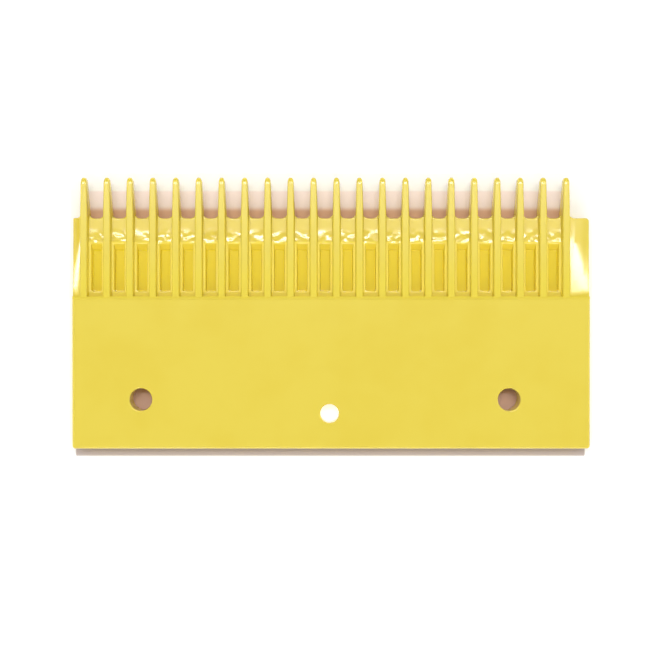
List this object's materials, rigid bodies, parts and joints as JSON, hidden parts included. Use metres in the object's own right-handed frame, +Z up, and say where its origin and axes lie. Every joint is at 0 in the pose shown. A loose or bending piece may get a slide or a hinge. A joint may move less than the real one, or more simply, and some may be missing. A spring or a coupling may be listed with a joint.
{
  "type": "escalator comb plate",
  "caption": "Die-cast end segment of an escalator comb: a flat base with screw holes and a ribbed front whose ribs run on as free teeth.",
  "frame": {"origin": "middle of the bounding box, on the underside that the plate lies on", "axes": "+X along the row of teeth towards the wide margin, +Y towards the tooth tips, +Z up through the walking surface"},
  "size_m": [0.204, 0.107, 0.0097],
  "materials": {
    "yellow_powder_coat": "glossy powder coat on cast aluminium"
  },
  "bodies": {
    "root": {"comb_plate": "yellow_powder_coat"}
  },
  "joints": []
}
